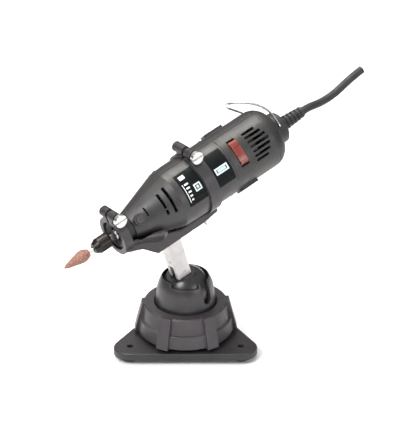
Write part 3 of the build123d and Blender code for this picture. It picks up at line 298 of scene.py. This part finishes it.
FINISH = {
    "stand_plastic": moulded("stand_plastic", (0.017, 0.015, 0.0165), 0.46, edge_highlight_strength=0.5),
    "collar_plastic": moulded("collar_plastic", (0.036, 0.031, 0.035), 0.44, edge_highlight_strength=0.6),
    "socket_plastic": moulded("socket_plastic", (0.024, 0.022, 0.024), 0.34, edge_highlight_strength=0.5, bevel=0.001),
    "rubber": rubber("rubber", (0.014, 0.013, 0.013)),
    "ball_plastic": moulded("ball_plastic", (0.017, 0.016, 0.017), 0.26, edge_highlight_strength=0.3, depth=0.00003),
    "post_metal": cast_metal("post_metal", (0.60, 0.575, 0.575)),
    "screw_steel": metal("screw_steel", (0.64, 0.64, 0.63), 0.24, TURNED),
    "holder_plastic": moulded("holder_plastic", (0.024, 0.021, 0.023), 0.42, edge_highlight_strength=0.6),
    "housing_plastic": moulded("housing_plastic", (0.023, 0.0215, 0.022), 0.42, edge_highlight_strength=0.4),
    # Painted shade: the rear cap is the housing's plastic, given a darker colour for the shade on its side
    # away from the light.
    "cap_plastic": moulded("cap_plastic", (0.017, 0.0155, 0.0165), 0.48, edge_highlight_strength=0.4),
    "label_film": printed_film("label_film", (0.0025, 0.004, 0.0045), 0.5, 0.12),
    "switch_red": gloss_red("switch_red"),
    "dark_plastic": moulded("dark_plastic", (0.010, 0.009, 0.010), 0.5, edge_highlight_strength=0.25),
    "brass": metal("brass", (0.62, 0.45, 0.22), 0.3, TURNED),
    "dark_steel": metal("dark_steel", (0.034, 0.031, 0.029), 0.36, ALONG_TOOL),
    "steel": metal("steel", (0.50, 0.50, 0.49), 0.28, ALONG_TOOL),
    "copper": metal("copper", (0.62, 0.27, 0.14), 0.35, TURNED),
    "board_green": printed_film("board_green", (0.02, 0.11, 0.04), 0.45),
    "carbon": rubber("carbon", (0.016, 0.016, 0.017), 0.6),
    "stone_pink": bonded_grit("stone_pink"),
    "cord_rubber": rubber("cord_rubber", (0.011, 0.011, 0.012), 0.55),
}
slot_of = {part["node"]: part["material_slot"] for part in frame["record"]["subparts"]}
for node_name, node in NODES.items():
    finish = FINISH[slot_of[node_name]]
    node.data.materials.clear()
    node.data.materials.append(finish)
# The lock button is blackened, with a painted highlight along all its edges, its rim and slot among them,
# broken up by fine noise.
BLACKENED = moulded("blackened_steel", (0.030, 0.028, 0.028), 0.3, edge_highlight_strength=1.0, bevel=0.0005)
NODES["lock_button"].data.materials[0] = BLACKENED

# ---------------------------------------------------------------------------
# Label marks: plain boxes, a stripe and scale ticks, in thin film on the plates
# ---------------------------------------------------------------------------
INK_PALE = printed_film("ink_pale", (0.72, 0.76, 0.78), 0.4)
INK_BLUE = printed_film("ink_blue", (0.42, 0.60, 0.72), 0.4)
label_radius = max((vertex.co - TOOL - TAIL * (vertex.co - TOOL).dot(TAIL)).length
                   for vertex in NODES["label_plates"].data.vertices)
FILM = 0.06 * MM
ARC_STEP = 2  # degrees round the tool that one face of a mark spans
TICKS = 5
TICK_PITCH = 7.5
TICK_WIDTH = 3.2


def skin_patch(name, start, end, low, high, material, border=0.0):
    """A thin curved patch on a label, from start to end in millimetres and from low to high in degrees.

    A border, in millimetres, leaves the middle open.
    """
    mesh = bpy.data.meshes.new(name)
    grid = bmesh.new()
    steps = max(2, int((high - low) / ARC_STEP))

    def sheet(first, last, bottom, top):
        rows = []
        for row in range(steps + 1):
            angle = bottom + (top - bottom) * row / steps
            edge = [on_tool(along * MM, label_radius + 0.2 * FILM, angle) for along in (first, last)]
            rows.append([grid.verts.new(corner) for corner in edge])
        for row in range(steps):
            grid.faces.new((rows[row][0], rows[row][1], rows[row + 1][1], rows[row + 1][0]))

    if border:
        wrap = math.degrees(border * MM / label_radius)
        sheet(start, end, low, low + wrap)
        sheet(start, end, high - wrap, high)
        sheet(start, start + border, low + wrap, high - wrap)
        sheet(end - border, end, low + wrap, high - wrap)
    else:
        sheet(start, end, low, high)
    bmesh.ops.remove_doubles(grid, verts=grid.verts, dist=1e-7)
    bmesh.ops.recalc_face_normals(grid, faces=grid.faces)
    grid.to_mesh(mesh)
    grid.free()
    mesh.materials.append(material)
    piece = bpy.data.objects.new(name, mesh)
    bpy.context.collection.objects.link(piece)
    solid = piece.modifiers.new("film", "SOLIDIFY")
    solid.thickness = FILM
    solid.offset = 0
    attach(piece, "tool")


skin_patch("mark_front_box", 17.0, 22.5, 54, 62, INK_PALE)
skin_patch("mark_side_box", 24.4, 31.0, 22, 36, INK_PALE, 1.1)
skin_patch("mark_side_block", 26.6, 28.8, 26, 32, INK_BLUE)
skin_patch("mark_scale_line", 15.6, 16.3, 10, 46, INK_PALE)
for tick in range(TICKS):
    bottom = 12 + TICK_PITCH * tick
    skin_patch(f"mark_tick_{tick}", 17.6, 19.6 + 0.5 * tick, bottom, bottom + TICK_WIDTH, INK_PALE)
skin_patch("mark_rear_bar", 48.0, 61.5, 25, 37.5, INK_PALE, 1.3)
skin_patch("mark_rear_stripe", 50.4, 59.1, 28.6, 34.0, INK_BLUE)

# ---------------------------------------------------------------------------
# Stage, light and camera
# ---------------------------------------------------------------------------
FLOOR_HALF = 4.0
SKY_STRENGTH = 0.8
SKY_DARK = (0.05, (0.10, 0.10, 0.105, 1.0))  # how steeply a direction rises, and the sky's colour there
SKY_BRIGHT = (0.75, (1.0, 1.0, 1.0, 1.0))

floor_mesh = bpy.data.meshes.new("floor")
floor_grid = bmesh.new()
bmesh.ops.create_grid(floor_grid, x_segments=4, y_segments=4, size=FLOOR_HALF)
floor_grid.to_mesh(floor_mesh)
floor_grid.free()
floor = bpy.data.objects.new("floor", floor_mesh)
bpy.context.collection.objects.link(floor)
floor_shader = Shader("floor_paper")
paper_tone = floor_shader.mix(floor_shader.noise(6.0), (0.90, 0.90, 0.90), (0.93, 0.93, 0.93))
floor_shader.set("Base Color", paper_tone)
floor_shader.set("Roughness", 0.95)
floor_mesh.materials.append(floor_shader.material)

world = bpy.data.worlds.new("studio")
bpy.context.scene.world = world
world.use_nodes = True
# A studio dome: white overhead, falling off to dark walls, so that bright metal has something to show.
sky = world.node_tree
sky_place = sky.nodes.new("ShaderNodeTexCoord")
sky_split = sky.nodes.new("ShaderNodeSeparateXYZ")
sky_ramp = sky.nodes.new("ShaderNodeValToRGB")
sky.links.new(sky_place.outputs["Generated"], sky_split.inputs["Vector"])
sky.links.new(sky_split.outputs["Z"], sky_ramp.inputs["Fac"])
sky.links.new(sky_ramp.outputs["Color"], sky.nodes["Background"].inputs["Color"])
for stop, (rise, colour) in zip(sky_ramp.color_ramp.elements, (SKY_DARK, SKY_BRIGHT)):
    stop.position = rise
    stop.color = colour
sky.nodes["Background"].inputs["Strength"].default_value = SKY_STRENGTH


def soft_light(name, place, aim, size, power, tint=(1.0, 1.0, 1.0)):
    """Square soft box that faces its aim."""
    data = bpy.data.lights.new(name, "AREA")
    data.size = size
    data.energy = power
    data.color = tint
    lamp = bpy.data.objects.new(name, data)
    lamp.location = place
    lamp.rotation_euler = (Vector(aim) - Vector(place)).to_track_quat("-Z", "Y").to_euler()
    bpy.context.collection.objects.link(lamp)


middle = BALL + POST * 60 * MM
soft_light("key", (-0.55, -0.75, 1.05), middle, 0.5, 16.0)
soft_light("fill", (0.9, -0.8, 0.5), middle, 0.6, 5.0, (0.97, 0.95, 1.0))
soft_light("top", (-0.15, 0.3, 1.2), middle, 0.6, 14.0, (1.0, 0.97, 0.90))

# Camera: looks along +Y and down, from far away through a long lens.
ELEVATION = math.radians(27.0)
CAMERA_DISTANCE = 1.6
VIEW_HEIGHT = 387.2 * MM  # height of the view at the ball
SENSOR = 36.0
RIGHT_OF_BALL = 17.6 * MM
ABOVE_BALL = 60.72 * MM
view_up = Vector((0, math.sin(ELEVATION), math.cos(ELEVATION)))
view_back = Vector((0, -math.cos(ELEVATION), math.sin(ELEVATION)))
aim = BALL + Vector((1, 0, 0)) * RIGHT_OF_BALL + view_up * ABOVE_BALL
camera_data = bpy.data.cameras.new("camera")
camera_data.sensor_width = SENSOR
camera_data.lens = SENSOR * CAMERA_DISTANCE / VIEW_HEIGHT
camera_data.clip_end = 20.0
camera = bpy.data.objects.new("camera", camera_data)
camera.location = aim + view_back * CAMERA_DISTANCE
camera.rotation_euler = (-view_back).to_track_quat("-Z", "Y").to_euler()
bpy.context.collection.objects.link(camera)
bpy.context.scene.camera = camera
bpy.context.scene.view_settings.view_transform = "Standard"
